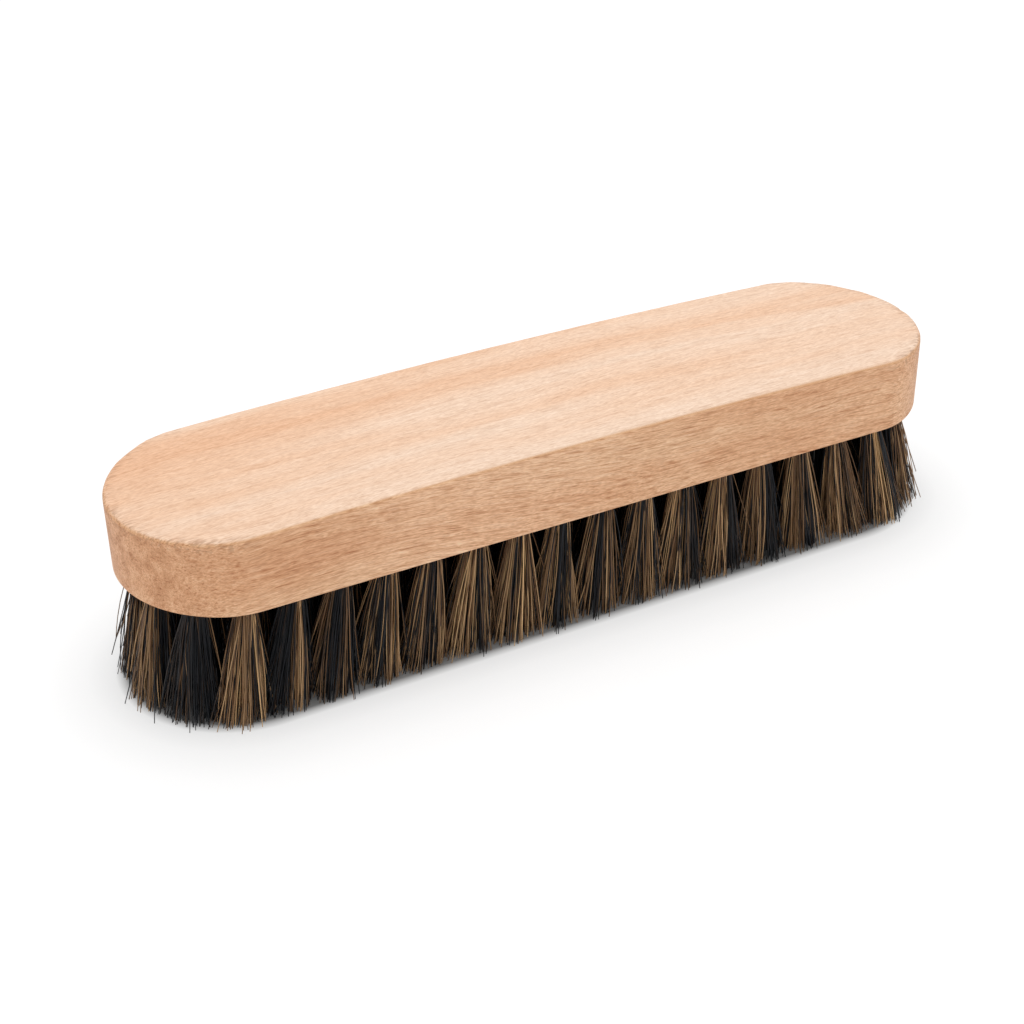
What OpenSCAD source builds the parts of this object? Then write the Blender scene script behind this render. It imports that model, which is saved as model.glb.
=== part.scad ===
// A shoe shine brush: a beech block with a gently crowned top, holes drilled in its underside, and
// bundles of horsehair, each folded over a wire staple that is driven into the wood at the hole's end.
// The brush lies along X and stands on its bristle tips, with its front towards -Y.

/* [Block] */
// Length of the wooden block
block_length = 170; // [150:1:195]
// Width of the wooden block
block_width = 43.5; // [41:0.5:47]
// Thickness of the block at the middle of its length
block_thickness = 16; // [14.5:0.5:22]
// How much lower the crowned top lies at the ends than at the middle
crown_drop = 1.6; // [1:0.1:2.4]
// Length of a curved end, from its nose to where the straight sides begin
end_length = 19; // [17:0.5:22]
// Radius with which a straight side turns into the nose of the block
corner_radius = 15; // [13:0.5:16]
// Rounding of the block's top edge
edge_round = 1.1; // [0.6:0.1:2]

/* [Bristles] */
// Length of the hair that stands out of the block
bristle_length = 23.75; // [16:0.25:32]
// Diameter of the holes that the hair is set in
hole_diameter = 4.2; // [3.8:0.1:4.6]
// Depth of the holes
hole_depth = 8.5; // [7.5:0.25:9.5]
// Distance from the block's side to the middle of the outermost holes
edge_inset = 5.25; // [4.75:0.25:5.5]
// Wanted spacing of the tufts, which is rounded so that whole tufts fill each row
tuft_pitch = 9.1; // [8.7:0.1:10]
// Least gap between the tips of two neighbouring tufts
tip_gap = 0.2; // [0.1:0.05:0.6]
// Outward lean of the outermost tufts across the brush, in degrees
side_lean = 3.5; // [2.5:0.5:4.5]
// Outward lean of the outermost tufts along the brush, in degrees
end_lean = 6; // [4.5:0.5:7.5]
// Room between a bundle of hair and the wall of its hole
hair_clearance = 0.05; // [0.02:0.01:0.1]

/* [Staples] */
// Diameter of the staple wire
wire_diameter = 0.8; // [0.6:0.05:0.9]
// Length of each staple leg that bites into the wood beyond the hole
leg_bite = 3.5; // [2.5:0.25:4.25]
// Length of the point at the end of each leg
point_length = 0.9; // [0.5:0.1:1.5]
// Room round the wire, in the wood and in the folded hair
wire_clearance = 0.03; // [0.02:0.01:0.08]

/* [Hidden] */
$fn = 48;
// Degrees between the corners of the block's curved ends
arc_step = 4.5;
// Steps in which the top edge is rounded
round_steps = 4;
// Corners of the whole circle that the crowned top is a small part of
crown_corners = 1080;
// How far a cut runs past the face that it opens
cut_over = 1;
// Shades of hair, from black to pale tan
hair_shades = ["#231f1e", "#5a4330", "#38302a", "#8c6b47"];

// The block's plan: straight sides, a corner arc, and a wider arc round each nose
straight_half = block_length / 2 - end_length;
corner_y = block_width / 2 - corner_radius;
nose_radius = (pow(end_length, 2) + pow(corner_y, 2) - pow(corner_radius, 2))
    / (2 * (end_length - corner_radius));
nose_x = block_length / 2 - nose_radius;
nose_angle = atan2(corner_y, straight_half - nose_x);
crown_radius = (pow(block_length / 2, 2) + pow(crown_drop, 2)) / (2 * crown_drop);

// The outer ring of holes runs edge_inset inside the plan, and holds whole tufts in each quarter
rad = PI / 180;
row_y = block_width / 2 - edge_inset;
ring_corner = corner_radius - edge_inset;
ring_nose = nose_radius - edge_inset;
corner_run = ring_corner * (90 - nose_angle) * rad;
nose_run = ring_nose * nose_angle * rad;
quarter_run = straight_half + corner_run + nose_run;
quarter_count = round(quarter_run / tuft_pitch);
ring_step = quarter_run / quarter_count;
side_count = 2 * ceil(straight_half / ring_step);
end_count = 2 * quarter_count - side_count;

// The inner ring has round ends, and its tufts stand opposite the gaps of the outer ring
row_gap = row_y / 2;
inner_half = block_length / 2 - edge_inset - 2 * row_gap;
inner_run = 2 * inner_half + PI * row_gap;
inner_count = round(inner_run / ring_step);
inner_step = inner_run / inner_count;

// The middle row runs down the centre of the inner ring
middle_count = 2 * floor(inner_half / ring_step + 0.5);

// Bundles of hair, sized by their hole and by the room that their neighbours leave
hole_radius = hole_diameter / 2;
bundle_radius = hole_radius - hair_clearance;
outer_tip = (2 * ring_nose * sin(ring_step / (2 * ring_nose * rad)) - tip_gap) / 2;
spare_length = 1.2 * bristle_length;

// A staple spans its hole, with the hair folded over its bridge between the two legs
wire_radius = wire_diameter / 2;
leg_x = hole_radius - wire_radius - 2 * hair_clearance;
fold_half = leg_x - wire_radius - wire_clearance;
fold_radius = sqrt(pow(bundle_radius, 2) - pow(fold_half, 2));
bridge_z = hole_depth - 2 * hair_clearance - fold_radius;
bundle_top = bridge_z - wire_radius - 4 * wire_clearance;
leg_top = hole_depth + leg_bite;

// A point on the outer ring, run being the way along it from the middle of a side
function quarter_place(run) =
    run < straight_half ? [run, row_y] :
    run < straight_half + corner_run ?
        let (a = 90 - (run - straight_half) / ring_corner / rad)
        [straight_half + ring_corner * cos(a), corner_y + ring_corner * sin(a)] :
    let (a = (quarter_run - run) / ring_nose / rad)
    [nose_x + ring_nose * cos(a), ring_nose * sin(a)];

// A place with the direction and angle of its tuft's lean, which fans out from the middle of the brush
function fanned(x, y) =
    let (lean_x = end_lean * x / (block_length / 2 - edge_inset), lean_y = side_lean * y / row_y)
    [x, y, atan2(lean_y, lean_x), norm([lean_x, lean_y])];

// A place on any side of the outer ring
function outer_place(run, left_right, front_back) =
    let (p = quarter_place(run))
    fanned(p.x * left_right, p.y * front_back);

// Tufts of a side, counted from the left end
function side_place(i, front_back) =
    let (k = i + 0.5 - side_count / 2)
    outer_place(abs(k) * ring_step, sign(k), front_back);

// Tufts round an end, counted from the front
function end_place(i, left_right) =
    let (k = i + 0.5 - end_count / 2)
    outer_place(quarter_run - abs(k) * ring_step, left_right, sign(k));

// Tufts of the inner ring's front or back half, counted from the left
function inner_place(i, front_back) =
    let (k = i - (inner_count - 1) / 2, run = abs(k) * inner_step, a = (run - inner_half) / row_gap / rad)
    run < inner_half ?
        fanned(k * inner_step, row_gap * front_back) :
        fanned(sign(k) * (inner_half + row_gap * sin(a)), row_gap * cos(a) * front_back);

// Tufts of the middle row, counted from the left
function middle_place(i) = fanned((i + 0.5 - middle_count / 2) * ring_step, 0);

front_places = [for (i = [0 : side_count - 1]) side_place(i, -1)];
back_places = [for (i = [0 : side_count - 1]) side_place(i, 1)];
left_places = [for (i = [0 : end_count - 1]) end_place(i, -1)];
right_places = [for (i = [0 : end_count - 1]) end_place(i, 1)];
inner_front_places = [for (i = [0 : inner_count - 1]) inner_place(i, -1)];
inner_back_places = [for (i = [0 : inner_count - 1]) inner_place(i, 1)];
middle_places = [for (i = [0 : middle_count - 1]) middle_place(i)];

// The point on the floor that a tuft's middle line leads to
function floor_point(place) =
    [place.x, place.y] + bristle_length * tan(place[3]) * [cos(place[2]), sin(place[2])];

// The inner tufts flare until they near their own row or the ring outside it
ring_reach = min([
    for (inner = inner_front_places, outer = concat(front_places, left_places, right_places))
        norm(floor_point(inner) - floor_point(outer))
]);
inner_chord = 2 * row_gap * sin(inner_step / (2 * row_gap * rad));
inner_tip = min((inner_chord - tip_gap) / 2, ring_reach - tip_gap - outer_tip);

function numbered(name, i) = str(name, i < 9 ? "_0" : "_", i + 1);

// Stands its children at a hole's mouth on the block's underside, leaning the hair outwards
module at_place(place) {
    translate([place.x, place.y, bristle_length])
        rotate([0, 0, place[2]])
            rotate([0, -place[3], 0])
                rotate([0, 0, -place[2]])
                    children();
}

// A corner of the block's right end, at an angle from +X, moved in from the edge
function end_corner(a, inset) =
    abs(a) > nose_angle ?
        [
            straight_half + (corner_radius - inset) * cos(a),
            sign(a) * corner_y + (corner_radius - inset) * sin(a)
        ] :
        [nose_x + (nose_radius - inset) * cos(a), (nose_radius - inset) * sin(a)];

module plan(inset) {
    half = [for (a = [-90 : arc_step : 90]) end_corner(a, inset)];
    polygon(concat(half, [for (p = half) -p]));
}

// The block's plan, raised to a crowned top that lies a little under the finished one
module crowned_plan(inset, lowered) {
    intersection() {
        translate([0, 0, bristle_length])
            linear_extrude(block_thickness)
                plan(inset);
        translate([0, 0, bristle_length + block_thickness - lowered - crown_radius])
            rotate([90, 0, 0])
                cylinder(r = crown_radius, h = 2 * block_width, center = true, $fn = crown_corners);
    }
}

module hole() {
    translate([0, 0, -cut_over])
        cylinder(r = hole_radius, h = hole_depth + cut_over);
    for (side = [-1, 1])
        translate([side * leg_x, 0, hole_depth - cut_over])
            cylinder(r = wire_radius + wire_clearance, h = leg_bite + cut_over + wire_clearance);
}

module block() {
    color("#dcb894")
        difference() {
            hull()
                for (i = [0 : round_steps])
                    let (a = 90 * i / round_steps)
                        crowned_plan(edge_round * (1 - cos(a)), edge_round * (1 - sin(a)));
            for (place = concat(front_places, back_places, left_places, right_places))
                at_place(place) hole();
            for (place = concat(inner_front_places, inner_back_places, middle_places))
                at_place(place) hole();
        }
}

// A bundle of hair: folded over the staple, straight in its hole, and flared to the tips
module tuft(place, tip_radius) {
    flare_z = -bundle_radius * sin(place[3]);
    spare_radius = bundle_radius + (tip_radius - bundle_radius) * spare_length / bristle_length;
    difference() {
        at_place(place)
            difference() {
                union() {
                    rotate_extrude()
                        polygon([
                            [0, bundle_top],
                            [bundle_radius, bundle_top],
                            [bundle_radius, flare_z],
                            [spare_radius, -spare_length],
                            [0, -spare_length]
                        ]);
                    translate([0, 0, bridge_z])
                        rotate([0, 90, 0])
                            cylinder(r = fold_radius, h = 2 * fold_half, center = true);
                }
                translate([0, 0, bridge_z])
                    rotate([0, 90, 0])
                        cylinder(r = wire_radius + wire_clearance, h = hole_diameter, center = true);
            }
        translate([place.x - block_width, place.y - block_width, -block_width])
            cube([2 * block_width, 2 * block_width, block_width]);
    }
}

module tufts(places, tip_radius) {
    for (i = [0 : len(places) - 1])
        color(hair_shades[i % len(hair_shades)])
            tuft(places[i], tip_radius);
}

module one_tuft(places, i) {
    color(hair_shades[i % len(hair_shades)])
        tuft(places[i], outer_tip);
}

// A staple of round wire: a bridge across the hole, two rounded corners, and two pointed legs
module staple() {
    translate([0, 0, bridge_z])
        rotate([0, 90, 0])
            cylinder(r = wire_radius, h = 2 * leg_x, center = true);
    for (side = [-1, 1])
        translate([side * leg_x, 0, bridge_z]) {
            sphere(r = wire_radius);
            cylinder(r = wire_radius, h = leg_top - point_length - bridge_z);
            translate([0, 0, leg_top - point_length - bridge_z])
                cylinder(r1 = wire_radius, r2 = wire_radius / 4, h = point_length);
        }
}

module staples(places) {
    color("#9a9a98")
        for (place = places)
            at_place(place) staple();
}

block();
for (i = [0 : side_count - 1]) {
    one_tuft(front_places, i);
    one_tuft(back_places, i);
}
for (i = [0 : end_count - 1]) {
    one_tuft(left_places, i);
    one_tuft(right_places, i);
}
tufts(inner_front_places, inner_tip);  // inner_front_tufts
tufts(inner_back_places, inner_tip);  // inner_back_tufts
tufts(middle_places, inner_tip);  // middle_tufts
staples(front_places);  // front_staples
staples(back_places);  // back_staples
staples(left_places);  // left_end_staples
staples(right_places);  // right_end_staples
staples(inner_front_places);  // inner_front_staples
staples(inner_back_places);  // inner_back_staples
staples(middle_places);  // middle_staples
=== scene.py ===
import math

import bpy
import numpy as np
from mathutils.geometry import delaunay_2d_cdt
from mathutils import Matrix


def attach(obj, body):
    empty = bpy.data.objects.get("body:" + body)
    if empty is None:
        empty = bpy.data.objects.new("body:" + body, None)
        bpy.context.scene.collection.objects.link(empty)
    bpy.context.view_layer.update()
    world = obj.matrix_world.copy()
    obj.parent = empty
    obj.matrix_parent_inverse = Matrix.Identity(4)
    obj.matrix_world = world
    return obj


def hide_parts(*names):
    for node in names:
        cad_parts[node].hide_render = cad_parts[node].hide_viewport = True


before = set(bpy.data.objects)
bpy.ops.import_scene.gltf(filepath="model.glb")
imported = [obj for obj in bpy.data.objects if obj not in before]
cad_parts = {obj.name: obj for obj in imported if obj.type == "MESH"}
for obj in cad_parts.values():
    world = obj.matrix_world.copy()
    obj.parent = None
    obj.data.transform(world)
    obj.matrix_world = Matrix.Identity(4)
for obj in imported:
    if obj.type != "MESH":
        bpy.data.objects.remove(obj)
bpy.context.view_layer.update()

# A shoe shine brush: a beech block with a crowned top, drilled underneath for 88 tufts of horsehair.
# Each hair is doubled over a wire staple at the end of its hole. All sizes here are in millimetres.
MM = 0.001

# The block's plan, as in the part's own sizes: straight sides, corner arcs and a wide arc at each nose
STRAIGHT_HALF = 66.0
HALF_WIDTH = 21.75
CORNER_RADIUS = 15.0
CORNER_Y = HALF_WIDTH - CORNER_RADIUS
END_LENGTH = 19.0
NOSE_RADIUS = (END_LENGTH**2 + CORNER_Y**2 - CORNER_RADIUS**2) / (2 * (END_LENGTH - CORNER_RADIUS))
NOSE_X = STRAIGHT_HALF + END_LENGTH - NOSE_RADIUS
NOSE_ANGLE = math.degrees(math.atan2(CORNER_Y, STRAIGHT_HALF - NOSE_X))
UNDERSIDE = 23.75
BLOCK_TOP = 39.75
CROWN_RADIUS = 2258.6
EDGE_ROUND = 0.8
HOLE_RADIUS = 2.1
HOLE_DEPTH = 8.5

# How finely the block's mesh is divided: along a side, round its arcs, up its side and round its edge
SIDE_POINTS, CORNER_POINTS, NOSE_POINTS = 44, 8, 25
SIDE_RINGS, EDGE_RINGS = 7, 6
TOP_COLUMNS = 22
HOLE_CORNERS = 24

# Hand sanding of the top edge: its waves round the block, and where it gets stronger along the block
WEAR_WAVES = (5, 11, 23, 41, 67, 97)
WORN_FROM, WORN_OVER = 60.0, 15.0

# Where the tufts stand
EDGE_INSET = 5.25
TUFT_PITCH = 9.1
SIDE_LEAN = 3.5
END_LEAN = 6.0
ROW_GAP = (HALF_WIDTH - EDGE_INSET) / 2
BRIDGE_Z = 6.717
WIRE_RADIUS = 0.4
FARTHEST_TIP = 22.9

# How far the hair is combed along the brush by use, at some places along it
COMBED_AT = (-80.0, -68.0, -55.0, -40.0, 5.0, 25.0, 42.0, 60.0, 80.0)
COMBED_BY = (-0.8, -1.3, -2.6, -2.7, -2.6, -2.1, -1.3, 1.8, 2.0)

# The hair of an outer and of an inner tuft: how far its tips spread, its number of doubled hairs, the
# steps along each of their legs, and the share of the hairs that fan out far along the row
OUTER_TUFT = {"spread": 4.4, "hairs": 125, "steps": 6, "wild": 0.28}
INNER_TUFT = {"spread": 4.8, "hairs": 92, "steps": 4, "wild": 0.35}
WILD_FAN, CALM_FAN = (1.2, 1.7), 1.08

# How the tips gather in clumps, how uneven they are, and how many go astray
TIP_CLUMPS, CLUMPING = 26, 0.65
ASTRAY_SHARE, ASTRAY_BY, UNEVEN_BY = 0.22, 1.1, 0.3

# The hairs that stand out from the brush's two ends: their share, how far out and how high they end
STRAY_SHARE, STRAY_BY, STRAY_RISE = 0.14, (0.5, 2.8), (0.5, 12.0)

# One hair: its radius, taper and bends, and the share and shortness of the short ones
HAIR_RADIUS, TIP_TAPER = (0.092, 0.125), 0.15
BOW, BEND, CURL = (-0.25, 0.40), 0.34, 0.10
SHORT_SHARE, SHORT_BY = 0.05, (0.4, 2.0)

# The hairs' spread at the mouth of the hole, and their fold over the staple's bridge
MOUTH_SPREAD = 1.65
FOLD_GAP, FOLD_OUT, FOLD_ALONG = 0.13, 1.02, 1.08
FOLD_ANGLES = (0, 60, 120, 180)

# Colours of the hair, from left to right across each tuft: black, dark, brown, tan and gold
FRONT_HAIR = (
    "btgtbtgb", "kkkdtgkk", "bdkkbtkb", "btkkbgtb", "btkkktbk", "bttgkdtb", "tbbkgttb", "btkdkttg",
    "btkkbttb", "dbkbtgbk", "btbtdtkk", "bgbtkkdk", "bbtbkkkd", "btbbkkgt", "bttbbtbb", "ddbtgkkd",
)
LEFT_HAIR = ("kkdkkkdk", "tgbkkkkb", "kbtkbkbk", "kbdkbtkk")
RIGHT_HAIR = ("dkbtbtkb", "kbtbkdbt", "kkbtdkbt", "btkkdbtk")
BACK_HAIR = (
    "bkktgkbd", "tbbtkkbt", "kkdtbtkk", "bgtbbkkd", "dkkkbtgb", "btbkktbb", "kbtgbkkt", "bbdkkgtb",
    "kktbbtdk", "tgbkkkbb", "bbtkdkkt", "dkkbgtbb", "btkkbbtk", "kkbttbdk", "gtbbkkdb", "bkdkbtkk",
)
# The inner tufts are mostly black: partly their own colour, and partly painted shade that keeps the gaps
# between the outer tufts dark
INNER_HAIR = ("kkdkbkkd", "kdkkkbdk", "dkbkkdkk", "kkkdkkbk")
LETTERS = "kdbtg"
# What a streak of each colour is mixed from
NEARBY = {"k": "kkkkkkkkdd", "d": "kddddbkkkb", "b": "bbbbdtktbk", "t": "tttbbgtdbk", "g": "ggtttbgtbk"}


# Laying out the tufts

def arc_point(x, y, radius, angle):
    """A point on an arc, with the arc's outward direction there."""
    out_x, out_y = math.cos(math.radians(angle)), math.sin(math.radians(angle))
    return x + radius * out_x, y + radius * out_y, out_x, out_y


def ring_lengths():
    """Lengths along a quarter of the outer ring: to the corner arc, to the nose arc and to the nose."""
    corner = (CORNER_RADIUS - EDGE_INSET) * math.radians(90 - NOSE_ANGLE)
    nose = (NOSE_RADIUS - EDGE_INSET) * math.radians(NOSE_ANGLE)
    return STRAIGHT_HALF, STRAIGHT_HALF + corner, STRAIGHT_HALF + corner + nose


def fanned(x, y, outward):
    """A hole's middle, the direction and angle of its tuft's lean, which fans out from the middle of
    the brush, and the direction away from the row."""
    lean_x = END_LEAN * x / (STRAIGHT_HALF + END_LENGTH - EDGE_INSET)
    lean_y = SIDE_LEAN * y / (HALF_WIDTH - EDGE_INSET)
    return x, y, math.atan2(lean_y, lean_x), math.hypot(lean_x, lean_y), outward


def outer_place(run, left_right, front_back):
    """A tuft's place on the outer ring, run being the way along it from the middle of a side."""
    to_corner, to_nose, whole = ring_lengths()
    if run < to_corner:
        x, y, angle = run, HALF_WIDTH - EDGE_INSET, 90.0
    elif run < to_nose:
        radius = CORNER_RADIUS - EDGE_INSET
        angle = 90 - math.degrees((run - to_corner) / radius)
        x, y = arc_point(STRAIGHT_HALF, CORNER_Y, radius, angle)[:2]
    else:
        radius = NOSE_RADIUS - EDGE_INSET
        angle = math.degrees((whole - run) / radius)
        x, y = arc_point(NOSE_X, 0, radius, angle)[:2]
    along, across = math.cos(math.radians(angle)), math.sin(math.radians(angle))
    outward = math.atan2(across * front_back, along * left_right)
    return fanned(x * left_right, y * front_back, outward)


def outer_rows():
    """Places of the front, back, left and right tufts of the outer ring."""
    whole = ring_lengths()[2]
    quarter = round(whole / TUFT_PITCH)
    step = whole / quarter
    side = 2 * math.ceil(STRAIGHT_HALF / step)
    end = 2 * quarter - side
    from_middle = [i + 0.5 - side / 2 for i in range(side)]
    from_nose = [i + 0.5 - end / 2 for i in range(end)]
    rows = [
        [outer_place(abs(k) * step, math.copysign(1, k), way) for k in from_middle] for way in (-1, 1)
    ]
    rows += [
        [outer_place(whole - abs(k) * step, way, math.copysign(1, k)) for k in from_nose] for way in (-1, 1)
    ]
    return rows, step


def inner_rows(outer_step):
    """Places of the inner front, inner back and middle tufts."""
    half = STRAIGHT_HALF + END_LENGTH - EDGE_INSET - 2 * ROW_GAP
    whole = 2 * half + math.pi * ROW_GAP
    count = round(whole / outer_step)
    step = whole / count
    rows = []
    for way in (-1, 1):
        row = []
        for k in [i - (count - 1) / 2 for i in range(count)]:
            turn = max(0.0, abs(k) * step - half) / ROW_GAP
            x = math.copysign(min(abs(k) * step, half) + ROW_GAP * math.sin(turn), k)
            row.append(fanned(x, way * ROW_GAP * math.cos(turn), math.pi / 2))
        rows.append(row)
    middle = 2 * math.floor(half / outer_step + 0.5)
    from_middle = [i + 0.5 - middle / 2 for i in range(middle)]
    rows.append([fanned(k * outer_step, 0.0, math.pi / 2) for k in from_middle])
    return rows


def leaning(place):
    """Turns a tuft's own directions into the brush's, as rows of a matrix, with its lean outwards."""
    angle, lean = place[2], math.radians(place[3])
    out = np.array([math.cos(angle), math.sin(angle), 0.0])
    across = np.array([-math.sin(angle), math.cos(angle), 0.0])
    up = np.array([0.0, 0.0, 1.0])
    leant_out = out * math.cos(lean) + up * math.sin(lean)
    leant_up = up * math.cos(lean) - out * math.sin(lean)
    turn = np.array([leant_out, across, leant_up])
    return np.array([out, across, up]).T @ turn


# Making meshes

def make_piece(name, points, faces, finishes, maps=None, parts=None):
    """A mesh object in metres from points in millimetres. maps are the corners' places on the flat
    pattern that the colours are laid out on, and parts says which finish each face has."""
    mesh = bpy.data.meshes.new(name)
    mesh.from_pydata((np.asarray(points) * MM).tolist(), [], faces)
    if maps is not None:
        mesh.uv_layers.new(name="OFBake").uv.foreach_set("vector", np.asarray(maps, np.float32).ravel())
    for finish in finishes:
        mesh.materials.append(finish)
    if parts is not None:
        mesh.polygons.foreach_set("material_index", parts)
    mesh.polygons.foreach_set("use_smooth", [True] * len(mesh.polygons))
    piece = bpy.data.objects.new(name, mesh)
    bpy.context.scene.collection.objects.link(piece)
    return piece


def crown(x):
    """Height of the block's crowned top."""
    return BLOCK_TOP - CROWN_RADIUS + math.sqrt(CROWN_RADIUS**2 - x**2)


def half_outline():
    """Back half of the plan's edge from the left nose to the right one: points and outward directions."""
    side = np.linspace(0, STRAIGHT_HALF, SIDE_POINTS, endpoint=False)
    quarter = [(x, HALF_WIDTH, 0.0, 1.0) for x in side]
    for angle in np.linspace(90, NOSE_ANGLE, CORNER_POINTS, endpoint=False):
        quarter.append(arc_point(STRAIGHT_HALF, CORNER_Y, CORNER_RADIUS, angle))
    for angle in np.linspace(NOSE_ANGLE, 0, NOSE_POINTS):
        quarter.append(arc_point(NOSE_X, 0, NOSE_RADIUS, angle))
    return [(-x, y, -out_x, out_y) for x, y, out_x, out_y in quarter[:0:-1]] + quarter


def edge_wear(rng, outline):
    """How much the hand sanding widens or narrows the top edge's rounding, more so at the noses."""
    count = len(outline)
    wear = np.zeros(count)
    for waves in WEAR_WAVES:
        turn = rng.uniform(0, 2 * math.pi)
        run = np.linspace(0, 2 * math.pi * waves, count, endpoint=False)
        wear += rng.normal(0, 0.5) * np.sin(run + turn)
    fine = rng.normal(0, 1, count)
    at_end = np.clip((np.abs(outline[:, 0]) - WORN_FROM) / WORN_OVER, 0, 1)
    return 1 + wear * 0.05 + at_end * (0.25 + 0.10 * wear + 0.08 * fine)


class Body:
    """Points, faces, flat-pattern corners and finishes of the block as it is built up."""

    def __init__(self):
        self.points, self.faces, self.maps, self.parts = [], [], [], []

    def add_points(self, points):
        """Adds points and returns their numbers."""
        first = len(self.points)
        self.points.extend(points)
        return list(range(first, len(self.points)))

    def add_face(self, corners, places, part):
        """Adds a face with its corners' places on the flat pattern and its finish."""
        self.faces.append(corners)
        self.maps.extend(places)
        self.parts.append(part)


# Flat pattern of the block: its scale and margin, and where the top, underside, sides and holes go
MAP_SCALE = 0.97 / (2 * (STRAIGHT_HALF + END_LENGTH))
MAP_EDGE = 0.01
TOP_V, UNDER_V, SIDE_V, HOLE_V = 0.01, 0.275, 0.54, 0.885
SIDE_STRIPS, STRIP_V = 3, 0.112
# Flat pattern of the holes: in rows, each hole's wall as a strip with its end as a disc above it
HOLES_IN_ROW, HOLE_STEP_U, HOLE_STEP_V = 44, 0.022, 0.056
WALL_U, WALL_V = 0.019, 0.036
DISC_V, DISC_RADIUS = 0.045, 0.006
# The block's two finishes
OUTSIDE, DRILLED = 0, 1


def block_rings(rng):
    """Rings of points up the side and round the top edge, and how far each is up the surface."""
    half = half_outline()
    outline = np.array([(x, -y, a, -b) for x, y, a, b in half] + half[-2:0:-1])
    worn = EDGE_ROUND * edge_wear(rng, outline)
    level = np.zeros(len(outline))
    side_height = BLOCK_TOP - EDGE_ROUND - UNDERSIDE
    rings, heights = [], []
    for share in np.linspace(0, 1, SIDE_RINGS):
        tops = np.array([crown(x) for x in outline[:, 0]]) - worn
        rings.append(np.column_stack([outline[:, :2], UNDERSIDE + share * (tops - UNDERSIDE)]))
        heights.append(share * side_height)
    turns = np.linspace(0, math.pi / 2, EDGE_RINGS + 1)[1:]
    steps = [(worn * (1 - math.cos(turn)), worn * (1 - math.sin(turn)), turn) for turn in turns]
    steps += [(worn * 0.5 + EDGE_ROUND, level, 2.2), (level + 3.0 * EDGE_ROUND, level, 3.8)]
    for inward, lowered, run in steps:
        moved = outline[:, :2] - outline[:, 2:] * inward[:, None]
        tops = np.array([crown(x) for x in moved[:, 0]]) - lowered
        rings.append(np.column_stack([moved, tops]))
        heights.append(side_height + run * EDGE_ROUND)
    return rings, heights


def add_sides(body, rings, heights):
    """Faces up the side and round the top edge, and the numbers of each ring's points."""
    numbers = [body.add_points(ring.tolist()) for ring in rings]
    count = len(numbers[0])
    base = np.vstack([rings[0], rings[0][:1]])
    run = np.concatenate([[0], np.cumsum(np.linalg.norm(np.diff(base[:, :2], axis=0), axis=1))])
    for i in range(count):
        j = (i + 1) % count
        strip = SIDE_STRIPS * i // count
        start = run[-(-strip * count // SIDE_STRIPS)]
        left, right = [MAP_EDGE + (run[i + k] - start) * MAP_SCALE for k in (0, 1)]
        for low, high in zip(range(len(rings)), range(1, len(rings))):
            bottom, top = [SIDE_V + strip * STRIP_V + heights[k] * MAP_SCALE for k in (low, high)]
            body.add_face(
                (numbers[low][i], numbers[low][j], numbers[high][j], numbers[high][i]),
                ((left, bottom), (right, bottom), (right, top), (left, top)),
                OUTSIDE,
            )
    return numbers


def flat_place(point, base_v):
    """A point's place on the flat pattern of the top or the underside."""
    u = MAP_EDGE + (point[0] + STRAIGHT_HALF + END_LENGTH) * MAP_SCALE
    return u, base_v + (point[1] + HALF_WIDTH) * MAP_SCALE


def add_top(body, ring):
    """The crowned top inside the last ring, in lines that run across the block."""
    half = len(ring) // 2
    lines = [[ring[0]]]
    for i in range(1, half):
        front, back = np.array(body.points[ring[i]]), np.array(body.points[ring[-i]])
        shares = np.linspace(0, 1, TOP_COLUMNS + 1)[1:-1]
        between = [front + (back - front) * share for share in shares]
        inner = body.add_points([(p[0], p[1], crown(p[0])) for p in between])
        lines.append([ring[i], *inner, ring[-i]])
    lines.append([ring[half]])
    for line, after in zip(lines, lines[1:]):
        for k in range(TOP_COLUMNS):
            corners = [line[min(k, len(line) - 1)]]
            corners += [after[min(k, len(after) - 1)], after[min(k + 1, len(after) - 1)]]
            corners += [line[min(k + 1, len(line) - 1)]]
            corners = list(dict.fromkeys(corners))
            body.add_face(corners, [flat_place(body.points[c], TOP_V) for c in corners], OUTSIDE)


def hole_rings(place):
    """Rings of a hole's mouth and end, following its lean."""
    turn = leaning(place)
    angles = np.linspace(0, 2 * math.pi, HOLE_CORNERS, endpoint=False)
    circle = np.column_stack([np.cos(angles), np.sin(angles), np.zeros(HOLE_CORNERS)]) * HOLE_RADIUS
    middle = np.array([place[0], place[1], UNDERSIDE])
    mouth = circle @ turn.T + middle
    mouth[:, 2] = UNDERSIDE
    return mouth, (circle + [0, 0, HOLE_DEPTH]) @ turn.T + middle


def add_hole(body, place, number):
    """The wall and end of one hole. Returns the points of its mouth."""
    mouth, end = hole_rings(place)
    low, high = body.add_points(mouth.tolist()), body.add_points(end.tolist())
    row, column = divmod(number, HOLES_IN_ROW)
    left, base = MAP_EDGE + HOLE_STEP_U * column, HOLE_V + HOLE_STEP_V * row
    for i in range(HOLE_CORNERS):
        j = (i + 1) % HOLE_CORNERS
        start, stop = [left + WALL_U * k / HOLE_CORNERS for k in (i, i + 1)]
        body.add_face(
            (low[j], low[i], high[i], high[j]),
            ((stop, base), (start, base), (start, base + WALL_V), (stop, base + WALL_V)),
            DRILLED,
        )
    angles = np.linspace(0, 2 * math.pi, HOLE_CORNERS, endpoint=False)
    across = left + WALL_U / 2 + DISC_RADIUS * np.cos(angles)
    up = base + DISC_V + DISC_RADIUS * np.sin(angles)
    body.add_face(high[::-1], list(zip(across, up))[::-1], DRILLED)
    return low


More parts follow.
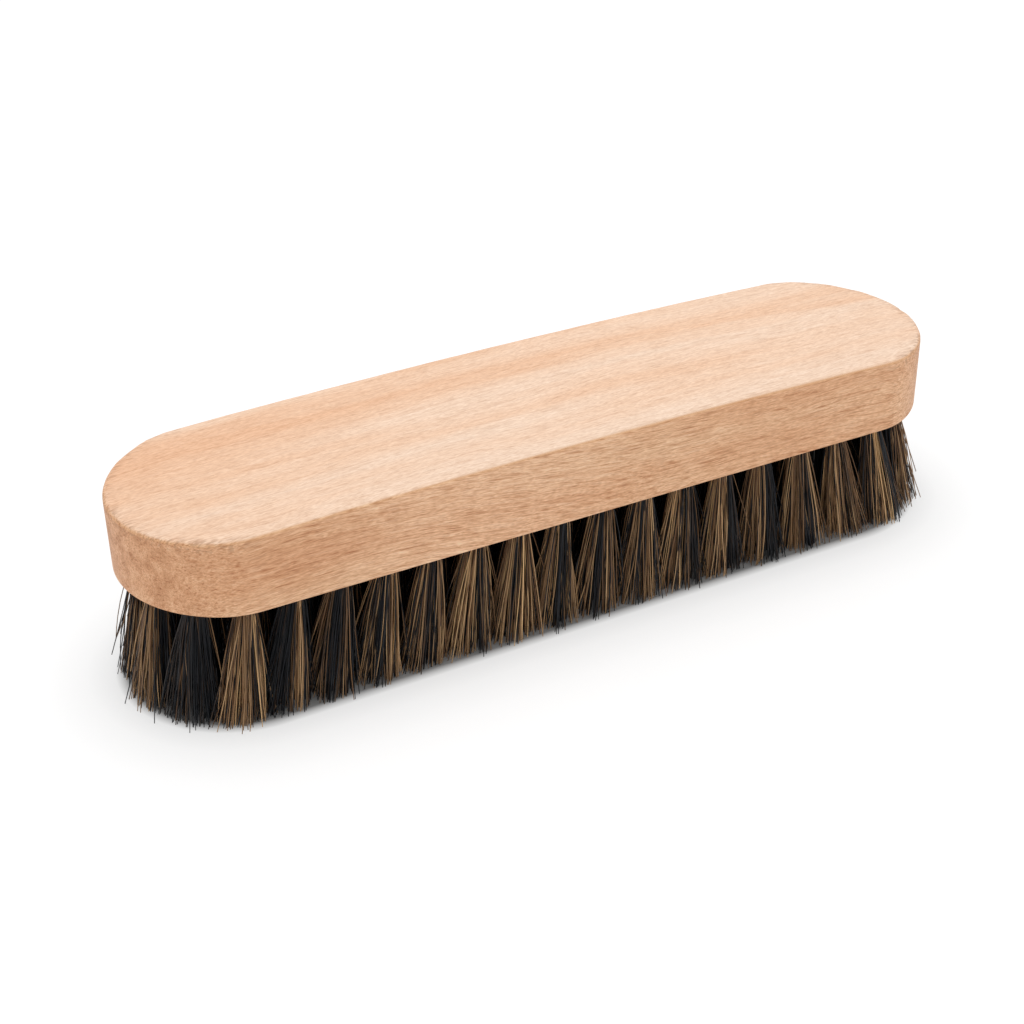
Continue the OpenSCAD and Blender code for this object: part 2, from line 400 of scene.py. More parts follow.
def add_underside(body, ring, places):
    """The flat underside, cut out round the mouth of each hole."""
    mouths = [add_hole(body, place, i) for i, place in enumerate(places)]
    loops = [ring] + mouths
    numbers = [k for loop in loops for k in loop]
    edges = []
    first = 0
    for loop in loops:
        edges += [(first + i, first + (i + 1) % len(loop)) for i in range(len(loop))]
        first += len(loop)
    flat = [body.points[k][:2] for k in numbers]
    middles = np.array([place[:2] for place in places])
    made = delaunay_2d_cdt([tuple(p) for p in flat], edges, [], 1, 1e-7, True)
    faces, sources = made[2:4]
    for face in faces:
        corners = [numbers[sources[k][0]] for k in face]
        middle = np.mean([body.points[c][:2] for c in corners], axis=0)
        if np.linalg.norm(middles - middle, axis=1).min() > HOLE_RADIUS * 0.98:
            corners.reverse()
            body.add_face(corners, [flat_place(body.points[c], UNDER_V) for c in corners], OUTSIDE)


def make_block(rng, places, outside, drilled):
    """The whole block as one closed mesh: sides, top edge, crowned top, underside and holes."""
    body = Body()
    rings, heights = block_rings(rng)
    numbers = add_sides(body, rings, heights)
    add_top(body, numbers[-1])
    add_underside(body, numbers[0], places)
    block = make_piece("beech_block", body.points, body.faces, [outside, drilled], body.maps, body.parts)
    block.data.set_sharp_from_angle(angle=math.radians(35))
    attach(block, "root")
    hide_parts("block")


# Hair

def strand_roots(rng, count):
    """Places of the doubled hairs across the hole: along the wire, and out from it to one side."""
    radius = np.sqrt(rng.uniform(0, 1, count))
    angle = rng.uniform(0.04, math.pi - 0.04, count)
    return radius * np.cos(angle), radius * np.sin(angle)


def clumped_tips(rng, along, out, reach):
    """Where the hairs of one side of a tuft end, about its middle: in small clumps, with some astray."""
    count = len(along)
    tips = np.column_stack([along, out]) * reach * rng.normal(1.0, 0.07, count)[:, None]
    clumps = rng.uniform(-1, 1, (TIP_CLUMPS, 2)) * reach
    near = np.argmin(np.linalg.norm(tips[:, None] - clumps[None], axis=2), axis=1)
    tips += (clumps[near] - tips) * rng.uniform(0.0, CLUMPING, count)[:, None]
    way = rng.normal(0, 1, (count, 2))
    astray = rng.uniform(0, 1, count) < ASTRAY_SHARE
    return tips + way * np.where(astray, ASTRAY_BY, UNEVEN_BY)[:, None]


def fanned_tips(rng, tips, outward, wild):
    """Fans the tips out along the row, wild ones the most, and draws them in across it as much."""
    count = len(tips)
    tangent = np.array([-outward[1], outward[0]])
    fan = np.where(rng.uniform(0, 1, count) < wild, rng.uniform(*WILD_FAN, count), CALM_FAN)
    tips = tips + tangent * ((tips @ tangent) * (fan - 1))[:, None]
    return tips - outward * ((tips @ outward) * (1 - 1 / fan))[:, None]


def tip_places(rng, place, along, out, tuft):
    """Where the hairs of one side of a tuft reach the floor, in the brush's own directions, and how
    far above it each stray hair stops short."""
    count = len(along)
    x, y, lean_way, lean, away = place
    outward = np.array([math.cos(away), math.sin(away)])
    spread = fanned_tips(rng, clumped_tips(rng, along, out, tuft["spread"]), outward, tuft["wild"])
    stray = (rng.uniform(0, 1, count) < STRAY_SHARE * outward[0] ** 2) & (spread @ outward > 0)
    rise = stray * rng.uniform(*STRAY_RISE, count)
    spread += outward * (stray * rng.uniform(*STRAY_BY, count))[:, None]
    foot = math.tan(math.radians(lean)) * UNDERSIDE
    combed = np.interp(x, COMBED_AT, COMBED_BY)
    tips = spread + [x + foot * math.cos(lean_way) + combed, y + foot * math.sin(lean_way)]
    tips[:, 1] = np.clip(tips[:, 1], -FARTHEST_TIP, FARTHEST_TIP)
    return tips, rise


def hair_leg(rng, place, turn, along, side_out, tips, rise, steps):
    """Points of one end of each hair, from the mouth of its hole to its tip."""
    count = len(along)
    mouth = np.column_stack([along * MOUTH_SPREAD, side_out * MOUTH_SPREAD, np.zeros(count)])
    mouth = mouth @ turn.T + [place[0], place[1], UNDERSIDE]
    ends = np.column_stack([tips, np.abs(rng.normal(0.05, 0.22, count)) + 0.03])
    short = rng.uniform(0, 1, count) < SHORT_SHARE
    ends[short, 2] += rng.uniform(*SHORT_BY, short.sum())
    ends -= (ends - mouth) * (rise / UNDERSIDE)[:, None]
    share = np.linspace(0, 1, steps + 1)[None, :, None]
    bow = rng.uniform(*BOW, count)[:, None, None]
    eased = share * (1 - bow) + share**2 * bow
    down = np.broadcast_to(share, eased.shape)
    path = mouth[:, None] + (ends - mouth)[:, None] * np.concatenate([eased, eased, down], axis=2)
    bend = rng.normal(0, BEND, (count, 1, 2)) * np.sin(math.pi * share)
    curl = rng.normal(0, CURL, (count, 1, 2)) * np.sin(2 * math.pi * share)
    path[:, :, :2] += bend + curl
    return path


def strand_paths(rng, place, tuft):
    """Doubled hairs from tip to tip: up into the hole, over the staple's bridge and down again."""
    along, out = strand_roots(rng, tuft["hairs"])
    turn = leaning(place)
    legs = []
    for way in (-1, 1):
        tips, rise = tip_places(rng, place, along, out * way, tuft)
        legs.append(hair_leg(rng, place, turn, along, out * way, tips, rise, tuft["steps"]))
    reach = WIRE_RADIUS + FOLD_GAP + out * FOLD_OUT
    fold = []
    for angle in FOLD_ANGLES:
        y = -reach * math.cos(math.radians(angle))
        z = BRIDGE_Z + reach * math.sin(math.radians(angle))
        fold.append(np.column_stack([along * FOLD_ALONG, y, z]))
    fold = np.stack(fold, axis=1) @ turn.T + [place[0], place[1], UNDERSIDE]
    return np.concatenate([legs[0][:, ::-1], fold, legs[1]], axis=1), along


def strand_shades(rng, along, letters):
    """Shade of each hair from 0, black, to 1, gold, by where it lies across the tuft."""
    count = len(along)
    spot = (along + 1) / 2 * len(letters) + rng.normal(0, 0.32, count)
    spot = np.clip(spot, 0, len(letters) - 1e-6).astype(int)
    mixed = [rng.choice(list(NEARBY[letters[k]])) for k in spot]
    picked = np.array([LETTERS.index(letter) for letter in mixed], float)
    return (picked + 0.5 + rng.uniform(-0.35, 0.35, count)) / len(LETTERS)


def strand_mesh(rng, paths, shades):
    """Points of thin three-sided hairs that follow the paths, with each hair's shade and chance."""
    count, steps = paths.shape[:2]
    tangent = np.gradient(paths, axis=1)
    tangent /= np.linalg.norm(tangent, axis=2, keepdims=True)
    wire = np.array([1.0, 0.0, 0.0])
    side = wire - tangent * (tangent @ wire)[:, :, None]
    side /= np.linalg.norm(side, axis=2, keepdims=True)
    up = np.cross(tangent, side)
    angles = np.linspace(0, 2 * math.pi, 3, endpoint=False)[None] + rng.uniform(0, 2, count)[:, None]
    from_fold = np.abs(np.linspace(-1, 1, steps))
    radius = rng.uniform(*HAIR_RADIUS, count)[:, None] * (1 - TIP_TAPER * from_fold**3)[None]
    ring = side[:, :, None] * np.cos(angles)[:, None, :, None]
    ring = ring + up[:, :, None] * np.sin(angles)[:, None, :, None]
    points = (paths[:, :, None] + ring * radius[:, :, None, None]).reshape(-1, 3)
    values = np.zeros((count, steps, 3, 4))
    values[..., 0] = shades[:, None, None]
    values[..., 1] = rng.uniform(0, 1, count)[:, None, None]
    values[..., 3] = 1
    return points, values.reshape(-1, 4)


def strand_faces(count, steps, first):
    """Corners of the hairs' side quads and of the small triangles that close their ends."""
    strand = first + np.arange(count)[:, None, None] * steps * 3
    ring = np.arange(steps - 1)[None, :, None] * 3
    corner = np.arange(3)[None, None, :]
    after = (corner + 1) % 3
    base = strand + ring
    quads = np.stack([base + corner, base + after, base + after + 3, base + corner + 3], axis=-1)
    start = strand[:, 0, 0][:, None] + np.array([2, 1, 0])
    end = strand[:, 0, 0][:, None] + (steps - 1) * 3 + np.array([0, 1, 2])
    return quads.reshape(-1, 4), start, end


# Flat pattern of a hair in its own cell: its strip's size and margins, and its two ends beyond the strip
STRIP_WIDTH, STRIP_HEIGHT, SIDE_MARGIN, END_MARGIN = 0.86, 0.93, 0.07, 0.035
CAP_EDGE, CAP_HEIGHT = 0.002, 0.02


def strand_maps(count, steps, first, total):
    """Flat pattern of the hairs: one upright strip for each, in rows."""
    rows = 2 if total < 200 else 5
    across = math.ceil(total / rows)
    number = first + np.arange(count)
    left = (number % across) / across
    low = (number // across) / rows
    width, height = STRIP_WIDTH / across, STRIP_HEIGHT / rows
    corner = np.arange(3)
    run = np.linspace(0, 1, steps)
    u = left[:, None] + width * np.array([corner / 3, (corner + 1) / 3]).ravel()[None]
    u += SIDE_MARGIN / across
    v = low[:, None] + height * run[None] + END_MARGIN / rows
    quads = np.zeros((count, steps - 1, 3, 4, 2))
    for k in corner:
        quads[:, :, k, :, 0] = np.stack([u[:, k], u[:, k + 3], u[:, k + 3], u[:, k]], -1)[:, None]
        quads[:, :, k, :, 1] = np.stack([v[:, :-1], v[:, :-1], v[:, 1:], v[:, 1:]], -1)
    caps = np.zeros((2, count, 3, 2))
    for end, base in enumerate((low + CAP_EDGE / rows, low + (1 - CAP_EDGE) / rows)):
        tip = CAP_HEIGHT / rows * (1 if end == 0 else -1)
        caps[end, :, :, 0] = left[:, None] + width * np.array([0.1, 0.9, 0.5])[None]
        caps[end, :, :, 1] = base[:, None] + np.array([0, 0, tip])[None]
    return quads.reshape(-1, 2), caps.reshape(-1, 2)


def make_hair(name, node, places, letters, tuft, seed, finish):
    """One piece of hair, with a tuft at each place, for the solids of the same name."""
    rng = np.random.default_rng(seed)
    count = tuft["hairs"]
    steps = 2 * (tuft["steps"] + 1) + len(FOLD_ANGLES)
    points, values, quads, caps, side_maps, cap_maps = [], [], [], [], [], []
    for i, place in enumerate(places):
        paths, along = strand_paths(rng, place, tuft)
        shades = strand_shades(rng, along, letters[i % len(letters)])
        tuft_points, tuft_values = strand_mesh(rng, paths, shades)
        sides, start, end = strand_faces(count, steps, i * count * steps * 3)
        side_map, cap_map = strand_maps(count, steps, i * count, count * len(places))
        points.append(tuft_points)
        values.append(tuft_values)
        quads.append(sides)
        caps += [start, end]
        side_maps.append(side_map)
        cap_maps.append(cap_map)
    faces = np.concatenate(quads).tolist() + np.concatenate(caps).tolist()
    piece = make_piece(name, np.concatenate(points), faces, [finish], np.concatenate(side_maps + cap_maps))
    strand = piece.data.attributes.new("strand", "FLOAT_COLOR", "POINT")
    strand.data.foreach_set("color", np.concatenate(values).astype(np.float32).ravel())
    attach(piece, "root")
    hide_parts(node)


# Finishes

def put(tree, kind, sockets=None, **settings):
    """A node with its settings, whose sockets take plain values or other nodes' outputs."""
    node = tree.nodes.new("ShaderNode" + kind)
    for name, value in settings.items():
        setattr(node, name, value)
    for name, value in (sockets or {}).items():
        if isinstance(value, bpy.types.NodeSocket):
            tree.links.new(value, node.inputs[name])
        else:
            node.inputs[name].default_value = value
    return node


def maths(tree, operation, *values):
    """One calculation on plain values."""
    return put(tree, "Math", dict(enumerate(values)), operation=operation).outputs[0]


def vectors(tree, operation, *values):
    """One calculation on vectors."""
    return put(tree, "VectorMath", dict(enumerate(values)), operation=operation).outputs[0]


def stepped(tree, value, start, end, low=0.0, high=1.0):
    """Turns a value that runs from start to end smoothly into one from low to high."""
    names = ("Value", "From Min", "From Max", "To Min", "To Max")
    sockets = dict(zip(names, (value, start, end, low, high)))
    return put(tree, "MapRange", sockets, interpolation_type="SMOOTHSTEP").outputs[0]


def blend(tree, share, first, second, way="MIX"):
    """Mixes two colours, each given as a plain value or another node's output."""
    first, second = [(*c, 1.0) if isinstance(c, tuple) else c for c in (first, second)]
    sockets = {0: share, 6: first, 7: second}
    return put(tree, "Mix", sockets, data_type="RGBA", blend_type=way).outputs[2]


def ramp(tree, value, stops):
    """A colour ramp with its stops as (place, colour)."""
    node = put(tree, "ValToRGB", {0: value})
    marks = node.color_ramp.elements
    while len(marks) < len(stops):
        marks.new(0.5)
    for mark, (place, colour) in zip(marks, stops):
        mark.position = place
        mark.color = (*colour, 1.0)
    return node.outputs[0]


def noise(tree, place, scale, detail=2.0, roughness=0.5):
    """Smooth noise, as its node."""
    sockets = {"Vector": place, "Scale": scale, "Detail": detail, "Roughness": roughness}
    return put(tree, "TexNoise", sockets)


def drawn_out(tree, place, fineness, detail=2.0, roughness=0.5):
    """Noise that is finer along some axes than along others."""
    return noise(tree, vectors(tree, "MULTIPLY", place, fineness), 1.0, detail, roughness)


def new_group(name, inputs, outputs):
    """An empty node group with its sockets, and its input and output nodes."""
    group = bpy.data.node_groups.new(name, "ShaderNodeTree")
    for way, sockets in (("INPUT", inputs), ("OUTPUT", outputs)):
        for title, kind in sockets:
            group.interface.new_socket(name=title, in_out=way, socket_type="NodeSocket" + kind)
    return group, group.nodes.new("NodeGroupInput"), group.nodes.new("NodeGroupOutput")


def new_material(name):
    """A material with its tree and shader."""
    material = bpy.data.materials.new(name)
    material.use_nodes = True
    tree = material.node_tree
    return material, tree, tree.nodes["Principled BSDF"]


def millimetres(tree):
    """A point's place on the brush, in millimetres."""
    place = put(tree, "TexCoord").outputs["Object"]
    return vectors(tree, "MULTIPLY", place, (1000.0, 1000.0, 1000.0))


def scattered_pores(tree, place, fineness, least, most):
    """Long pores scattered through the wood, some large and some hardly there."""
    stretched = vectors(tree, "MULTIPLY", place, fineness)
    cells = put(tree, "TexVoronoi", {"Vector": stretched, "Scale": 1.0})
    chance = put(tree, "SeparateColor", {0: cells.outputs["Color"]}).outputs[0]
    reach = stepped(tree, chance, 0.0, 1.0, least, most)
    inside = maths(tree, "SUBTRACT", reach, cells.outputs["Distance"])
    return stepped(tree, inside, 0.0, 0.10)


def thin_lines(tree, place):
    """Thin wavy dark lines along the grain, broken into short lengths."""
    field = drawn_out(tree, place, (0.12, 1.9, 1.9), 1.5).outputs[0]
    off_line = maths(tree, "ABSOLUTE", maths(tree, "SUBTRACT", field, 0.5))
    line = stepped(tree, off_line, 0.055, 0.0)
    gaps = drawn_out(tree, place, (0.42, 1.1, 1.1)).outputs[0]
    return maths(tree, "MULTIPLY", line, stepped(tree, gaps, 0.44, 0.62))


# How the grain wanders across its own direction: the fineness and the reach of its sways and ripples
GRAIN_WAVES = (((0.022, 0.05, 0.05), (0.0, 6.0, 5.0)), ((0.13, 0.4, 0.4), (0.0, 0.9, 0.55)))


def wandering(tree, place):
    """A place in the wood, shifted as the grain wanders."""
    shifted = place
    for fineness, reach in GRAIN_WAVES:
        wave = drawn_out(tree, place, fineness, 1.0).outputs["Color"]
        wave = vectors(tree, "SUBTRACT", wave, (0.5, 0.5, 0.5))
        shifted = vectors(tree, "ADD", shifted, vectors(tree, "MULTIPLY", wave, reach))
    return shifted


def beech_figure():
    """The solid wood's figure: growth bands, fibres, short pores, thin wavy lines and fine flecks."""
    titles = ("Bands", "Streaks", "Pores", "Lines", "Flecks")
    group, given, made = new_group(
        "beech_figure", (("Place", "Vector"),), [(title, "Float") for title in titles]
    )
    place = wandering(group, given.outputs["Place"])
    short = drawn_out(group, place, (0.22, 3.4, 3.9), 1.5, 0.60).outputs[0]
    long = drawn_out(group, place, (0.08, 1.5, 1.9), 1.0).outputs[0]
    values = (
        drawn_out(group, place, (0.009, 0.13, 0.13), 2.5).outputs[0],
        maths(group, "MULTIPLY_ADD", long, 0.35, maths(group, "MULTIPLY", short, 0.65)),
        scattered_pores(group, place, (0.20, 3.6, 4.0), -0.12, 0.36),
        thin_lines(group, place),
        drawn_out(group, place, (0.9, 6.0, 6.5), 1.0).outputs[0],
    )
    for title, value in zip(titles, values):
        group.links.new(value, made.inputs[title])
    return group


def wood_shader(tree, shader, colour, rough, height):
    """Joins colour, roughness and relief to the wood's shader."""
    tree.links.new(colour, shader.inputs["Base Color"])
    tree.links.new(rough, shader.inputs["Roughness"])
    relief = put(tree, "Bump", {"Strength": 0.5, "Distance": 0.00012, "Height": height})
    tree.links.new(relief.outputs[0], shader.inputs["Normal"])
    shader.inputs["Specular IOR Level"].default_value = 0.35


def heart_stripe(tree, place):
    """The one darker growth line on the top near the right end: sharp towards the front, soft behind."""
    x, y = put(tree, "SeparateXYZ", {0: place}).outputs[:2]
    line = maths(tree, "MULTIPLY_ADD", x, -0.13, 14.7)
    sway = drawn_out(tree, place, (0.06, 0.0, 0.0)).outputs[0]
    line = maths(tree, "MULTIPLY_ADD", maths(tree, "SUBTRACT", sway, 0.5), 3.0, line)
    above = maths(tree, "SUBTRACT", y, line)
    sharp = stepped(tree, above, -0.5, 0.9)
    fading = stepped(tree, above, 0.5, 8.0, 1.0, 0.35)
    along = stepped(tree, x, 12.0, 46.0)
    return maths(tree, "MULTIPLY", maths(tree, "MULTIPLY", sharp, fading), along)


def face_masks(tree):
    """Where the block's surface faces upwards, where it faces along the grain, and its rounded edge."""
    normal = put(tree, "NewGeometry").outputs["Normal"]
    x, _, z = put(tree, "SeparateXYZ", {0: normal}).outputs
    up = stepped(tree, z, 0.45, 0.92)
    end = stepped(tree, maths(tree, "ABSOLUTE", x), 0.25, 0.90)
    edge = maths(tree, "MULTIPLY", stepped(tree, z, 0.10, 0.45), stepped(tree, z, 0.97, 0.6))
    return up, end, edge


def torn_ends(tree, place):
    """Where sanding has torn the fibres, just inside the top edge round the two noses."""
    x, y, z = put(tree, "SeparateXYZ", {0: place}).outputs
    past = maths(tree, "SUBTRACT", maths(tree, "ABSOLUTE", x), NOSE_X)
    squares = maths(tree, "ADD", maths(tree, "POWER", past, 2.0), maths(tree, "POWER", y, 2.0))
    reach = stepped(tree, maths(tree, "SQRT", squares), NOSE_RADIUS - 2.6, NOSE_RADIUS - 0.5)
    rim = maths(tree, "MULTIPLY", reach, stepped(tree, past, 1.0, 8.0))
    return maths(tree, "MULTIPLY", rim, stepped(tree, z, BLOCK_TOP - 3.6, BLOCK_TOP - 2.5))


def ruddy_patch(tree, place):
    """The redder patch of grain on the front, near the left corner."""
    off = vectors(tree, "SUBTRACT", place, (-57.0, -HALF_WIDTH, 32.0))
    off = vectors(tree, "MULTIPLY", off, (0.07, 0.1, 0.28))
    away = put(tree, "VectorMath", {0: off}, operation="LENGTH").outputs["Value"]
    return maths(tree, "MULTIPLY", stepped(tree, away, 1.3, 0.2), 0.3)


def round_about(tree, x, middle, far, near, most):
    """A value that rises to its most round one place along the brush."""
    away = maths(tree, "ABSOLUTE", maths(tree, "SUBTRACT", x, middle))
    return stepped(tree, away, far, near, 0.0, most)


def top_colour(tree, place, bands):
    """The pale top: redder towards the left and the back, paler to the right, with one darker line."""
    x, y = put(tree, "SeparateXYZ", {0: place}).outputs[:2]
    back = stepped(tree, y, -9.0, 14.0, -0.10, 0.12)
    back = maths(tree, "MULTIPLY", back, stepped(tree, x, -30.0, 60.0, 1.0, 0.2))
    left = stepped(tree, x, -10.0, -80.0, 0.0, 0.13)
    right = stepped(tree, x, 10.0, 60.0, 0.0, -0.07)
    tone = maths(tree, "ADD", bands, maths(tree, "ADD", back, maths(tree, "ADD", left, right)))
    tone = maths(tree, "MULTIPLY_ADD", heart_stripe(tree, place), 0.14, tone)
    return ramp(tree, tone, (
        (0.28, (0.935, 0.690, 0.520)), (0.50, (0.925, 0.640, 0.455)),
        (0.66, (0.900, 0.580, 0.385)), (0.86, (0.870, 0.515, 0.315)),
    ))


def side_colour(tree, place, bands):
    """The browner sides: darker right of the middle and at the left, paler left of the middle."""
    x = put(tree, "SeparateXYZ", {0: place}).outputs[0]
    darker = round_about(tree, x, 38.0, 26.0, 6.0, 0.11)
    darker = maths(tree, "ADD", darker, stepped(tree, x, -40.0, -62.0, 0.0, 0.12))
    brown = ramp(tree, maths(tree, "ADD", bands, darker), (
        (0.30, (0.930, 0.580, 0.350)), (0.50, (0.890, 0.520, 0.300)), (0.70, (0.830, 0.450, 0.245)),
    ))
    return blend(tree, round_about(tree, x, -24.0, 36.0, 10.0, 0.5), brown, (1.00, 0.620, 0.385))


def end_colour(tree, place):
    """The mottled end grain."""
    return ramp(tree, noise(tree, place, 0.30, 3.0, 0.6).outputs[0], (
        (0.34, (0.880, 0.505, 0.285)), (0.50, (0.800, 0.425, 0.228)), (0.62, (0.665, 0.328, 0.162)),
    ))


def with_grain(tree, colour, place, wood, up, end):
    """Lays the fibres, flecks, pores, thin lines and torn fibres over the wood's colour."""
    torn = torn_ends(tree, place)
    fibre = ramp(tree, wood["Streaks"], (
        (0.28, (0.58, 0.39, 0.27)), (0.46, (0.93, 0.90, 0.87)),
        (0.54, (1.01, 1.02, 1.03)), (0.72, (1.12, 1.24, 1.36)),
    ))
    depth = maths(tree, "MULTIPLY_ADD", torn, 0.3, stepped(tree, up, 0.0, 1.0, 0.95, 0.38))
    colour = blend(tree, depth, colour, fibre, "MULTIPLY")
    fleck = ramp(tree, wood["Flecks"], ((0.30, (0.82, 0.75, 0.70)), (0.70, (1.14, 1.20, 1.24))))
    colour = blend(tree, stepped(tree, up, 0.0, 1.0, 0.85, 0.62), colour, fleck, "MULTIPLY")
    depth = stepped(tree, maths(tree, "MAXIMUM", up, end), 0.0, 1.0, 0.20, 0.10)
    colour = blend(tree, maths(tree, "MULTIPLY", wood["Pores"], depth), colour, (0.45, 0.18, 0.08))
    depth = maths(tree, "MULTIPLY_ADD", torn, 0.25, stepped(tree, up, 0.0, 1.0, 0.32, 0.10))
    colour = blend(tree, maths(tree, "MULTIPLY", wood["Lines"], depth), colour, (0.50, 0.21, 0.10))
    ticks = drawn_out(tree, place, (0.45, 1.9, 1.9), 1.0).outputs[0]
    ticks = maths(tree, "MULTIPLY", stepped(tree, ticks, 0.50, 0.36), torn)
    return blend(tree, maths(tree, "MULTIPLY", ticks, 0.45), colour, (0.42, 0.22, 0.12))


def downhill(tree, place, up):
    """Lets the grain of the sides, and not that of the top, run slightly downwards to the right."""
    x = put(tree, "SeparateXYZ", {0: place}).outputs[0]
    dip = stepped(tree, x, -60.0, 50.0, 0.0, 8.0)
    dip = maths(tree, "MULTIPLY", dip, maths(tree, "SUBTRACT", 1.0, up))
    return vectors(tree, "ADD", place, put(tree, "CombineXYZ", {2: dip}).outputs[0])


def planed_beech(figure):
    """Smooth sanded beech: pale on the top, browner on the sides, mottled where the grain ends."""
    material, tree, shader = new_material("planed_beech")
    place = millimetres(tree)
    up, end, edge = face_masks(tree)
    wood = put(tree, "Group", {"Place": downhill(tree, place, up)}, node_tree=figure).outputs
    colour = blend(tree, end, side_colour(tree, place, wood["Bands"]), end_colour(tree, place))
    colour = blend(tree, ruddy_patch(tree, place), colour, (0.74, 0.36, 0.19))
    colour = blend(tree, up, colour, top_colour(tree, place, wood["Bands"]))
    colour = blend(tree, maths(tree, "MULTIPLY", edge, 0.5), colour, (0.86, 0.50, 0.26))
    colour = with_grain(tree, colour, place, wood, up, end)
    rough = stepped(tree, wood["Streaks"], 0.2, 0.8, 0.62, 0.46)
    height = maths(tree, "MULTIPLY_ADD", wood["Pores"], -0.8, wood["Streaks"])
    wood_shader(tree, shader, colour, rough, height)
    return material


def drilled_beech(figure):
    """Raw drilled beech in the holes: darker, rougher and fuzzy."""
    material, tree, shader = new_material("drilled_beech")
    place = millimetres(tree)
    wood = put(tree, "Group", {"Place": place}, node_tree=figure).outputs
    fuzz = noise(tree, place, 2.6, 4.0, 0.7).outputs[0]
    colour = ramp(tree, fuzz, ((0.3, (0.56, 0.33, 0.19)), (0.7, (0.36, 0.19, 0.10))))
    colour = blend(tree, maths(tree, "MULTIPLY", wood["Pores"], 0.5), colour, (0.22, 0.10, 0.05))
    rough = stepped(tree, wood["Streaks"], 0.2, 0.8, 0.8, 0.68)
    wood_shader(tree, shader, colour, rough, fuzz)
    return material


def horsehair():
    """Mixed horsehair: blue-black, dark, brown, tan and gold hairs with a soft gloss."""
    material, tree, shader = new_material("horsehair")
    strand = put(tree, "Attribute", attribute_name="strand").outputs["Color"]
    shade, chance = put(tree, "SeparateColor", {0: strand}).outputs[:2]
    cloud = drawn_out(tree, millimetres(tree), (0.9, 0.9, 0.16), 3.0).outputs[0]
    drift = maths(tree, "MULTIPLY_ADD", maths(tree, "SUBTRACT", cloud, 0.5), 0.22, shade)
    colour = ramp(tree, drift, (
        (0.10, (0.0050, 0.0070, 0.0112)), (0.22, (0.009, 0.0098, 0.0125)), (0.32, (0.042, 0.024, 0.015)),
        (0.50, (0.235, 0.130, 0.062)), (0.70, (0.555, 0.345, 0.178)), (0.92, (0.820, 0.530, 0.255)),
    ))
    ruddy = maths(tree, "MULTIPLY", stepped(tree, chance, 0.30, 0.12), stepped(tree, shade, 0.40, 0.55))
    colour = blend(tree, maths(tree, "MULTIPLY", ruddy, 0.7), colour, (0.260, 0.115, 0.042))
    lighter = stepped(tree, chance, 0.0, 1.0, 0.72, 1.22)
    bright = put(tree, "CombineColor", {0: lighter, 1: lighter, 2: lighter}).outputs[0]
    colour = blend(tree, 1.0, colour, bright, "MULTIPLY")
    rough = stepped(tree, cloud, 0.25, 0.75, 0.38, 0.56)
    tree.links.new(colour, shader.inputs["Base Color"])
    tree.links.new(rough, shader.inputs["Roughness"])
    shader.inputs["Specular IOR Level"].default_value = 0.38
    return material


def staple_steel():
    """Bright drawn steel wire, with faint streaks from the die and a few dull spots."""
    material, tree, shader = new_material("staple_steel")
    place = millimetres(tree)
    streaks = drawn_out(tree, place, (1.5, 9.0, 3.0), 4.0).outputs[0]
    spots = noise(tree, place, 1.4, 3.0).outputs[0]
    colour = ramp(tree, spots, ((0.35, (0.42, 0.40, 0.38)), (0.6, (0.66, 0.65, 0.63))))
    tree.links.new(colour, shader.inputs["Base Color"])
    tree.links.new(stepped(tree, streaks, 0.3, 0.7, 0.22, 0.42), shader.inputs["Roughness"])
    relief = put(tree, "Bump", {"Strength": 0.3, "Distance": 0.00003, "Height": streaks})
    tree.links.new(relief.outputs[0], shader.inputs["Normal"])
    shader.inputs["Metallic"].default_value = 1.0
    return material


# Studio

# The camera, solved from the block's edges in the photograph: place in metres, turn in degrees, lens in mm
CAMERA_PLACE = (-0.146917, -0.273257, 0.200496)
CAMERA_TURN = (58.818, 0.902, -27.763)
CAMERA_LENS = 64.33
# Light that the surroundings give, as a share of white
SURROUNDINGS = 0.74
# The floor's half size, and the grey that it is for the camera and for the light that it bounces
FLOOR_HALF = 2500.0
FLOOR_SEEN, FLOOR_BOUNCED = 0.30, 0.86
# How brightly the floor shines by itself, dark below the brush and brighter on the way out, which paints the
# brush's shadow onto the floor. The way is counted from a line along the brush's middle, GLOW_LINE to each
# side: GLOW_START is 0, GLOW_REACH more is 1
GLOW_LINE, GLOW_START, GLOW_REACH = 64.0, 20.6, 32.0
# Painted shadow: the floor's own shine rises from almost nothing under the brush to full white away from it
GLOW_AND_PAINTED_SHADOW = ((0.01, 0.02), (0.05, 0.35), (0.09, 0.62), (0.25, 0.70), (0.5, 0.75), (1.0, 0.775))


def by_ray(tree, seen, lighting):
    """One shader where the camera, a reflection or glass looks, and another as light for the rest."""
    path = put(tree, "LightPath").outputs
    looked_at = maths(tree, "MAXIMUM", path["Is Camera Ray"], path["Is Glossy Ray"])
    looked_at = maths(tree, "MAXIMUM", looked_at, path["Is Transmission Ray"])
    mixed = put(tree, "MixShader", {0: looked_at, 1: lighting, 2: seen})
    return mixed.outputs[0]


def make_world():
    """White surroundings that light the brush evenly."""
    world = bpy.data.worlds.new("studio")
    bpy.context.scene.world = world
    world.use_nodes = True
    tree = world.node_tree
    tree.nodes.clear()
    white = (1.0, 1.0, 1.0, 1.0)
    seen = put(tree, "Background", {"Color": white, "Strength": 1.0}).outputs[0]
    light = put(tree, "Background", {"Color": white, "Strength": SURROUNDINGS}).outputs[0]
    put(tree, "OutputWorld", {"Surface": by_ray(tree, seen, light)})


def grey(value):
    """A grey from 0, black, to 1, white."""
    return (value, value, value)


